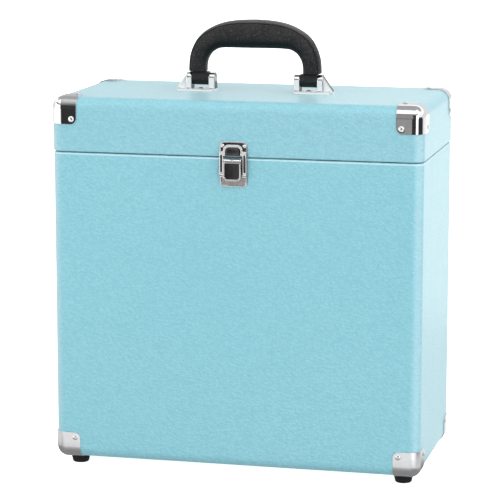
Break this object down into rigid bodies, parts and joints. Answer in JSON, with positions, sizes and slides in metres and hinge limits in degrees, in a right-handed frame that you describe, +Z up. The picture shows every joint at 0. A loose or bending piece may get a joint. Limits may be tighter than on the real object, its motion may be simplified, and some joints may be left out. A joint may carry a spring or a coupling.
{
  "type": "record carrying case",
  "caption": "Covered wooden carrying case for vinyl records: hinged lid, draw latch, swinging padded handle, metal corner caps and rubber feet.",
  "frame": {"origin": "on the surface the case stands on, under the middle of the case", "axes": "+Z up, -Y is the front with the latch, +X to the right seen from the front"},
  "size_m": [0.3552, 0.1816, 0.4216],
  "materials": {
    "leatherette": "satin, fine pebble grain",
    "board": "raw fibreboard",
    "lining": "matt felt paper",
    "chrome": "bright plated",
    "steel": "plain",
    "rubber": "matt",
    "grip": "satin, fine grain"
  },
  "bodies": {
    "case_body": {"front_board": "board", "back_board": "board", "left_board": "board", "right_board": "board", "bottom_board": "board", "body_cover": "leatherette", "body_lining": "lining", "locating_lip": "lining", "body_cap_front_left": "chrome", "body_cap_front_right": "chrome", "body_cap_back_left": "chrome", "body_cap_back_right": "chrome", "body_cap_nails": "chrome", "foot_front_left": "rubber", "foot_front_right": "rubber", "foot_back_left": "rubber", "foot_back_right": "rubber", "foot_screws": "steel", "hinge_body_leaf_left": "chrome", "hinge_body_leaf_right": "chrome", "hinge_pin_left": "steel", "hinge_pin_right": "steel", "hinge_body_rivets": "chrome", "latch_base": "chrome", "latch_lever_pin": "steel", "latch_base_rivets": "chrome"},
    "lid": {"lid_top_board": "board", "lid_front_rail": "board", "lid_back_rail": "board", "lid_left_rail": "board", "lid_right_rail": "board", "lid_cover": "leatherette", "lid_lining": "lining", "lid_cap_front_left": "chrome", "lid_cap_front_right": "chrome", "lid_cap_back_left": "chrome", "lid_cap_back_right": "chrome", "lid_cap_nails": "chrome", "hinge_lid_leaf_left": "chrome", "hinge_lid_leaf_right": "chrome", "hinge_lid_rivets": "chrome", "latch_catch": "chrome", "latch_catch_rivets": "chrome", "handle_bracket_left": "chrome", "handle_bracket_right": "chrome", "handle_bracket_rivets": "chrome", "handle_pin_left": "steel", "handle_pin_right": "steel"},
    "handle": {"handle_grip": "grip", "handle_core": "steel", "handle_tab_left": "grip", "handle_tab_right": "grip"},
    "latch_lever": {"latch_lever": "chrome", "latch_loop_pin": "steel"},
    "latch_loop": {"latch_loop": "chrome"}
  },
  "joints": [
    {"name": "lid_hinge", "type": "hinge", "parent": "case_body", "child": "lid", "pos_m": [0, 0.0859, 0.302], "axis": [-1, 0, 0], "range_deg": [0, 105]},
    {"name": "handle_swing", "type": "hinge", "parent": "lid", "child": "handle", "pos_m": [0, 0, 0.3648], "axis": [1, 0, 0], "range_deg": [-90, 90]},
    {"name": "lever_pivot", "type": "hinge", "parent": "case_body", "child": "latch_lever", "pos_m": [0, -0.0876, 0.2985], "axis": [-1, 0, 0], "range_deg": [0, 135]},
    {"name": "loop_pivot", "type": "hinge", "parent": "latch_lever", "child": "latch_loop", "pos_m": [0, -0.0862, 0.2855], "axis": [-1, 0, 0], "range_deg": [-170, 0]}
  ],
  "couplings": [
    {"joint": "loop_pivot", "follows": "lever_pivot", "ratio": -1.25}
  ]
}
